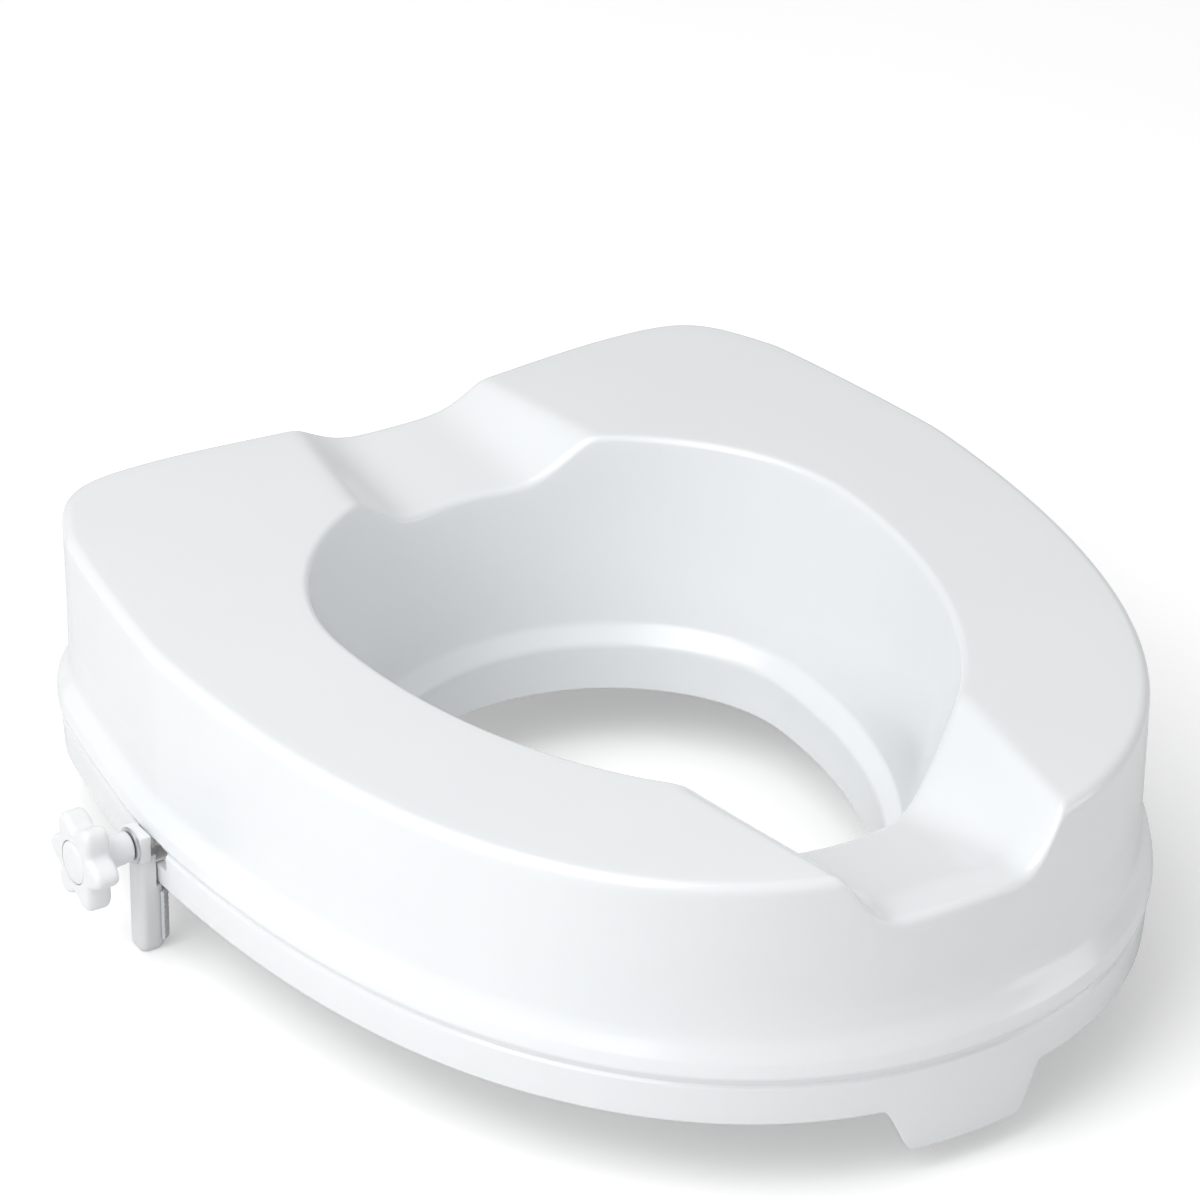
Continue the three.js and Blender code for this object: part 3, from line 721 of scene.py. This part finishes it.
def jaw_pad():
    """A rubber sleeve on the leg's round side, with grip ribs across it."""
    low, high = box_mm("jaw_pad_right")
    centre = (LEG_INNER + LEG_HALF, 0)
    inner_radius = LEG_HALF + GAP
    outer_radius = inner_radius + SLEEVE_SKIN
    arc_steps, levels = 30, 97
    edge_depth, edge_height = 0.5, 0.6
    outer = arc(centre, outer_radius, *SLEEVE_ARC, arc_steps)
    inner = arc(centre, inner_radius, *SLEEVE_ARC, arc_steps)[::-1]
    outline = np.concatenate([outer, inner])
    outwards = (outer - np.array(centre)) / outer_radius
    rings = []
    for level in np.linspace(low[2], high[2], levels):
        rib = GRIP_RIB * (0.5 - 0.5 * math.cos(2 * math.pi * (level - low[2]) / GRIP_PITCH))
        from_end = min(level - low[2], high[2] - level)
        edge = edge_depth * max(0.0, 1 - from_end / edge_height) ** 2
        ring = outline.copy()
        ring[: len(outer)] -= outwards * (rib + edge)
        rings.append(np.column_stack([ring, np.full(len(ring), level)]))
    return to_mesh(tube(rings))


def nut_block():
    """A housing under a flange plate, with the spindle's bore, a channel and two screw holes."""
    x_span = (block_low[0], block_high[0])
    past = (x_span[0] - TRIM, x_span[1] + TRIM)
    flange = (block_high[1] - block_low[1]) / 2
    bottom, top = block_low[2], block_high[2]
    housing = rounded_block(x_span, (-BLOCK_HALF, BLOCK_HALF), (bottom, top - TRIM), BLOCK_EDGE)
    plate = rounded_block(x_span, (-flange, flange), (top - BLOCK_PLATE, top), BLOCK_EDGE)
    channel = sharp_block(past, (-CHANNEL_HALF, CHANNEL_HALF), (0, CHANNEL_TOP))
    bore = rod(SPINDLE_RADIUS + GAP, *past)
    holes = [post(SCREW_HOLE, BLOCK_X, end * SCREW_PITCH, 0, 2 * top) for end in (-1, 1)]
    return cut(join(housing, plate), channel, bore, *holes)


def block_screw(end):
    """A pan-head screw with a cross recess and a threaded shank."""
    head_steps = 40
    clearance, overlap = 0.1, 0.5
    y = end * SCREW_PITCH
    seat = block_high[2] - BLOCK_PLATE - clearance
    bottom = seat - SCREW_HEAD_HEIGHT
    plan = circle(SCREW_HEAD_RADIUS, head_steps) + [BLOCK_X, y]
    head = upright(plan, bottom, seat, SCREW_HEAD_EDGE)
    recess_z = (bottom - TRIM, bottom + CROSS_DEPTH)
    arms = [
        sharp_block((BLOCK_X - a, BLOCK_X + a), (y - b, y + b), recess_z)
        for a, b in ((CROSS_HALF, CROSS_ARM), (CROSS_ARM, CROSS_HALF))
    ]
    return join(cut(head, *arms), screw_shank(BLOCK_X, y, seat - overlap, seat + SCREW_LENGTH))


def screw_shank(x, y, low, high):
    """A sharp-threaded shank that tapers to its tip."""
    steps, rings_per_turn = 24, 8
    tip_share = 0.35  # the radius at the tip, as a share of the shank's
    tip_rise = 3  # the height over which that share would grow by one
    angles = np.arange(steps) * 2 * math.pi / steps
    rings = []
    for level in np.linspace(low, high, round((high - low) / SCREW_THREAD_PITCH * rings_per_turn)):
        wave = 0.5 + 0.5 * np.cos(2 * math.pi * level / SCREW_THREAD_PITCH - angles)
        tapered = min(1.0, tip_share + (high - level) / tip_rise)
        radius = (SCREW_CREST - SCREW_THREAD * (1 - wave**2)) * tapered
        plan = np.stack([x + radius * np.cos(angles), y + radius * np.sin(angles)], axis=-1)
        rings.append(np.column_stack([plan, np.full(steps, level)]))
    return to_mesh(tube(rings))


def clamp_spindle():
    """A round-threaded spindle with two ring grooves and a hexagonal head."""
    low, high = spindle_low[0], spindle_high[0] - HEX_HEIGHT
    rings_per_turn = 14
    chamfer = 0.6
    angles = np.arange(ROUND_STEPS) * 2 * math.pi / ROUND_STEPS
    rings = []
    for x in np.arange(low, high, THREAD_PITCH / rings_per_turn):
        wave = 0.5 + 0.5 * np.cos(2 * math.pi * x / THREAD_PITCH - angles)
        threaded = smoothstep(x, THREAD_END, THREAD_END - THREAD_RUN_OUT)
        radius = SPINDLE_RADIUS - THREAD_DEPTH * (1 - wave) * threaded
        radius = np.minimum(radius, SPINDLE_RADIUS - chamfer + (x - low))
        if END_GROOVE[0] < x < END_GROOVE[1] or CLIP_GROOVE[0] < x < CLIP_GROOVE[1]:
            radius = np.full(ROUND_STEPS, GROOVE_RADIUS)
        rings.append(along_x(x, radius, angles))
    head = rod(HEX_RADIUS, high - TRIM, spindle_high[0], edge=HEX_EDGE, steps=HEXAGON)
    return join(to_mesh(tube(rings)), head)


def clamp_knob():
    """A six-lobed hand knob on a tapered hub, hollowed for the spindle's head and the cap."""
    outer = knob_high[0]
    around, edge_rings = 144, 8
    angles = np.radians(np.arange(around) * 360 / around)
    reach = LOBE_REACH + LOBE_WAVE * np.cos(LOBES * angles)
    disc = []
    for x, inset in edge_steps(DISC_INNER, outer, DISC_EDGE, steps=edge_rings):
        disc.append(along_x(x, reach - inset, angles))
    inside_disc = DISC_INNER + TRIM
    # Place along X, radius and rounding of each corner.
    hub_path = rounded_path(
        [
            (HUB_INNER, 0, 0),
            (HUB_INNER, HUB_RADIUS[0], 0.8),
            (DISC_INNER - 2.5, HUB_RADIUS[1], 4),
            (inside_disc, HUB_SPREAD, 1),
            (inside_disc, 0, 0),
        ]
    )
    bore = rod(SPINDLE_RADIUS + GAP, HUB_INNER - TRIM, outer)
    depth, clearance = HEX_POCKET
    pocket = rod(HEX_RADIUS + clearance, spindle_high[0] - depth, outer, steps=HEXAGON)
    cap_seat = rod(CAP_SEAT_RADIUS, outer - CAP_SEAT_DEPTH, outer + TRIM)
    return cut(join(to_mesh(tube(disc)), turned(hub_path)), bore, pocket, cap_seat)


def knob_cap():
    """A slightly domed disc that closes the knob."""
    low, high = box_mm("knob_cap_right")
    inner, crown = low[0], high[0]
    radius = (high[1] - low[1]) / 2
    rim = [(inner, 0, 0), (inner, radius, 0.3), (inner + 1.5, radius, 0.6)]
    dome = [(crown - 0.1, 6.5, 6), (crown, 0, 0)]
    return turned(rounded_path(rim + dome))


def thrust_washer():
    """A flat ring with broken edges, between the jaw's head and the knob's hub."""
    low, high = HEAD_OUTER + GAP, HUB_INNER - GAP
    edge = WASHER_EDGE
    inner, outer = SPINDLE_RADIUS + GAP, WASHER_RADIUS
    profile = [
        (low, inner + edge),
        (low, outer - edge),
        (low + edge, outer),
        (high - edge, outer),
        (high, outer - edge),
        (high, inner + edge),
        (high - edge, inner),
        (low + edge, inner),
    ]
    return turned(profile, looped=True)


def groove_ring(outside, groove):
    """A ring sprung into a groove of the spindle, open on one side."""
    mouth = 29  # degrees from the ring's middle to each side of its gap
    edge = 0.15
    outer = arc((0, 0), outside, mouth, 360 - mouth, ROUND_STEPS)
    inner = arc((0, 0), GROOVE_RADIUS + GAP, 360 - mouth, mouth, ROUND_STEPS)
    return sideways(np.concatenate([outer, inner]), groove[0] + GAP, groove[1] - GAP, edge)


# ---------------------------------------------------------------- materials


class Nodes:
    """A material with a Principled surface and small helpers to feed it."""

    def __init__(self, name):
        self.material = bpy.data.materials.new(name)
        self.material.use_nodes = True
        self.tree = self.material.node_tree
        self.surface = self.tree.nodes["Principled BSDF"]
        self.place = self.add("ShaderNodeTexCoord").outputs["Object"]

    def add(self, kind, **values):
        node = self.tree.nodes.new(kind)
        for name, value in values.items():
            setattr(node, name, value)
        return node

    def link(self, source, target):
        self.tree.links.new(source, target)

    def noise(self, scale, detail=2.0, stretch=None):
        texture = self.add("ShaderNodeTexNoise")
        texture.inputs["Scale"].default_value = scale
        texture.inputs["Detail"].default_value = detail
        place = self.place
        if stretch:
            mapping = self.add("ShaderNodeMapping")
            mapping.inputs["Scale"].default_value = stretch
            self.link(place, mapping.inputs["Vector"])
            place = mapping.outputs["Vector"]
        self.link(place, texture.inputs["Vector"])
        return texture.outputs["Fac"]

    def between(self, factor, low, high):
        """factor (0 to 1) spread between two numbers."""
        spread = self.add("ShaderNodeMapRange")
        spread.inputs["To Min"].default_value = low
        spread.inputs["To Max"].default_value = high
        self.link(factor, spread.inputs["Value"])
        return spread.outputs["Result"]

    def tint(self, factor, low, high):
        """factor (0 to 1) spread between two colours."""
        mix = self.add("ShaderNodeMix", data_type="RGBA")
        mix.inputs["A"].default_value = (*low, 1)
        mix.inputs["B"].default_value = (*high, 1)
        self.link(factor, mix.inputs["Factor"])
        self.link(mix.outputs["Result"], self.surface.inputs["Base Color"])

    def roughness(self, factor, low, high):
        self.link(self.between(factor, low, high), self.surface.inputs["Roughness"])

    def bump(self, height, distance, strength):
        bump = self.add("ShaderNodeBump")
        bump.inputs["Distance"].default_value = distance
        bump.inputs["Strength"].default_value = strength
        self.link(height, bump.inputs["Height"])
        self.link(bump.outputs["Normal"], self.surface.inputs["Normal"])

    def set(self, **values):
        for name, value in values.items():
            self.surface.inputs[name.replace("_", " ")].default_value = value


def gloss_plastic(name, low, high, roughness):
    """Glossy moulded plastic: slow colour drift, slightly uneven gloss and a fine orange-peel skin."""
    nodes = Nodes(name)
    nodes.tint(nodes.noise(scale=14), low, high)
    nodes.roughness(nodes.noise(scale=90, detail=4), low=roughness - 0.03, high=roughness + 0.04)
    nodes.bump(nodes.noise(scale=420), distance=0.00006, strength=0.35)
    nodes.set(IOR=1.49, Coat_Weight=0.25, Coat_Roughness=0.12)
    return nodes.material


def nylon():
    """Undyed nylon: off-white and satin."""
    nodes = Nodes("natural_nylon")
    nodes.tint(nodes.noise(scale=60), low=(0.74, 0.73, 0.69), high=(0.80, 0.79, 0.75))
    nodes.roughness(nodes.noise(scale=400, detail=4), low=0.38, high=0.5)
    nodes.bump(nodes.noise(scale=1800, detail=3), distance=0.00004, strength=0.5)
    nodes.set(IOR=1.53)
    return nodes.material


def rubber():
    """Matt anti-slip rubber with a fine grain."""
    nodes = Nodes("pale_rubber")
    nodes.tint(nodes.noise(scale=120, detail=4), low=(0.60, 0.62, 0.63), high=(0.68, 0.70, 0.71))
    nodes.roughness(nodes.noise(scale=900, detail=4), low=0.68, high=0.85)
    nodes.bump(nodes.noise(scale=2600, detail=4), distance=0.0001, strength=0.6)
    nodes.set(IOR=1.52)
    return nodes.material


def zinc_steel():
    """Zinc-plated steel, faintly drawn along the spindle."""
    nodes = Nodes("zinc_steel")
    nodes.tint(nodes.noise(scale=300, detail=3), low=(0.56, 0.57, 0.58), high=(0.68, 0.69, 0.70))
    nodes.roughness(nodes.noise(scale=500, detail=4, stretch=(1, 6, 6)), low=0.22, high=0.42)
    drawn = nodes.noise(scale=1500, detail=3, stretch=(1, 8, 8))
    nodes.bump(drawn, distance=0.00003, strength=0.5)
    nodes.set(Metallic=1.0)
    return nodes.material


def floor_paint():
    """Pale paint that looks a little brighter to the camera than it lights the object."""
    nodes = Nodes("studio_floor")
    nodes.tint(nodes.noise(scale=3), low=(0.84, 0.84, 0.84), high=(0.86, 0.86, 0.86))
    nodes.roughness(nodes.noise(scale=20), low=0.6, high=0.7)
    seen = nodes.add("ShaderNodeLightPath").outputs["Is Camera Ray"]
    nodes.link(nodes.between(seen, low=0, high=0.32), nodes.surface.inputs["Emission Strength"])
    nodes.set(Emission_Color=(1, 1, 1, 1))
    return nodes.material


def shell_plastic():
    return gloss_plastic(
        "shell_white_plastic", low=(0.80, 0.822, 0.835), high=(0.825, 0.843, 0.855), roughness=0.24
    )


def clamp_plastic():
    return gloss_plastic(
        "clamp_white_plastic", low=(0.78, 0.79, 0.80), high=(0.81, 0.82, 0.828), roughness=0.32
    )


materials = {
    "shell_plastic": shell_plastic(),
    "clamp_plastic": clamp_plastic(),
    "nylon": nylon(),
    "pad_rubber": rubber(),
    "steel": zinc_steel(),
}

# ---------------------------------------------------------------- placing the pieces

slot_of = {part["node"]: part["material_slot"] for part in frame["record"]["subparts"]}
body_of = {node: body for body, nodes in frame["record"]["behaviour"]["bodies"].items() for node in nodes}
SHARP = math.radians(38)  # faces that meet more steeply than this keep a hard edge


def show(node, mesh, placement=None):
    """Shows mesh in place of a CAD node, on that node's body and with its material."""
    if placement is not None:
        mesh.transform(placement)
    mesh.shade_smooth()
    mesh.set_sharp_from_angle(angle=SHARP)
    mesh.materials.clear()
    mesh.materials.append(materials[slot_of[node]])
    piece = bpy.data.objects.new(f"{node}_look", mesh)
    bpy.context.scene.collection.objects.link(piece)
    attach(piece, body_of[node])
    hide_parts(node)


show("seat_shell", seat_shell())
for pad, pad_x, pad_y, pad_turn in pad_places():
    show(pad, rest_pad(pad_x, pad_y, pad_turn))

CLAMP_PIECES = {
    "nut_block": nut_block,
    "clamp_jaw": clamp_jaw,
    "jaw_pad": jaw_pad,
    "clamp_spindle": clamp_spindle,
    "clamp_knob": clamp_knob,
    "knob_cap": knob_cap,
    "thrust_washer": thrust_washer,
}
for side_name, side_sign in SIDES.items():
    half_turn = Matrix.Rotation(0 if side_sign > 0 else math.pi, 4, "Z")
    placement = Matrix.Translation((0, CLAMP_Y * MM, 0)) @ half_turn
    for piece_name, make in CLAMP_PIECES.items():
        show(f"{piece_name}_{side_name}", make(), placement)
    show(f"jaw_clip_{side_name}", groove_ring(CLIP_RADIUS, CLIP_GROOVE), placement)
    show(f"end_stop_ring_{side_name}", groove_ring(END_RING_RADIUS, END_GROOVE), placement)
    show(f"block_screw_front_{side_name}", block_screw(-side_sign), placement)
    show(f"block_screw_rear_{side_name}", block_screw(side_sign), placement)

# ---------------------------------------------------------------- stage, light and camera


def floor():
    """A wide plain floor at the object's lowest point."""
    reach = 6.0
    level = cad_low.z
    mesh = bpy.data.meshes.new("floor")
    corners = [(-reach, -reach), (reach, -reach), (reach, reach), (-reach, reach)]
    mesh.from_pydata([(x, y, level) for x, y in corners], [], [(0, 1, 2, 3)])
    mesh.materials.append(floor_paint())
    plane = bpy.data.objects.new("floor", mesh)
    bpy.context.scene.collection.objects.link(plane)


def towards(azimuth, elevation):
    """The direction from the object to something at these angles; azimuth 0 is the front."""
    level = math.cos(elevation)
    return Vector((math.sin(azimuth) * level, -math.cos(azimuth) * level, math.sin(elevation)))


def softbox(name, azimuth, elevation, distance, size, power):
    """A square area light aimed at the middle of the object."""
    data = bpy.data.lights.new(name, "AREA")
    data.energy = power
    data.size = size
    lamp = bpy.data.objects.new(name, data)
    middle = (cad_low + cad_high) / 2
    back = towards(math.radians(azimuth), math.radians(elevation))
    lamp.location = middle + back * distance
    lamp.rotation_mode = "QUATERNION"
    lamp.rotation_quaternion = back.to_track_quat("Z", "Y")
    bpy.context.scene.collection.objects.link(lamp)


def sky(strength):
    """Even white light from all round."""
    world = bpy.data.worlds.new("studio")
    world.use_nodes = True
    background = world.node_tree.nodes["Background"]
    background.inputs["Color"].default_value = (1, 1, 1, 1)
    background.inputs["Strength"].default_value = strength
    bpy.context.scene.world = world


def camera():
    """The photograph's viewing angle: from the front left, looking down."""
    azimuth, elevation, roll = math.radians(-32.14), math.radians(28.9), math.radians(0.51)
    distance, lens, far_limit = 2.4065, 180.0, 50
    target = Vector((-0.0065, -0.1502, 0.0834))
    back = towards(azimuth, elevation)
    right = Vector((math.cos(azimuth), math.sin(azimuth), 0))
    up = back.cross(right)
    tilted_right = right * math.cos(roll) + up * math.sin(roll)
    tilted_up = up * math.cos(roll) - right * math.sin(roll)
    data = bpy.data.cameras.new("camera")
    data.lens = lens
    data.clip_end = far_limit
    eye = bpy.data.objects.new("camera", data)
    bpy.context.scene.collection.objects.link(eye)
    turn = Matrix((tilted_right, tilted_up, back)).transposed().to_4x4()
    eye.matrix_world = Matrix.Translation(target + back * distance) @ turn
    bpy.context.scene.camera = eye


floor()
sky(strength=0.45)
softbox("key", azimuth=-72, elevation=36, distance=2.2, size=1.6, power=20)
softbox("top", azimuth=-100, elevation=62, distance=2.3, size=1.8, power=24)
softbox("fill", azimuth=55, elevation=8, distance=2.4, size=1.2, power=9)
camera()
bpy.context.scene.view_settings.view_transform = "Standard"
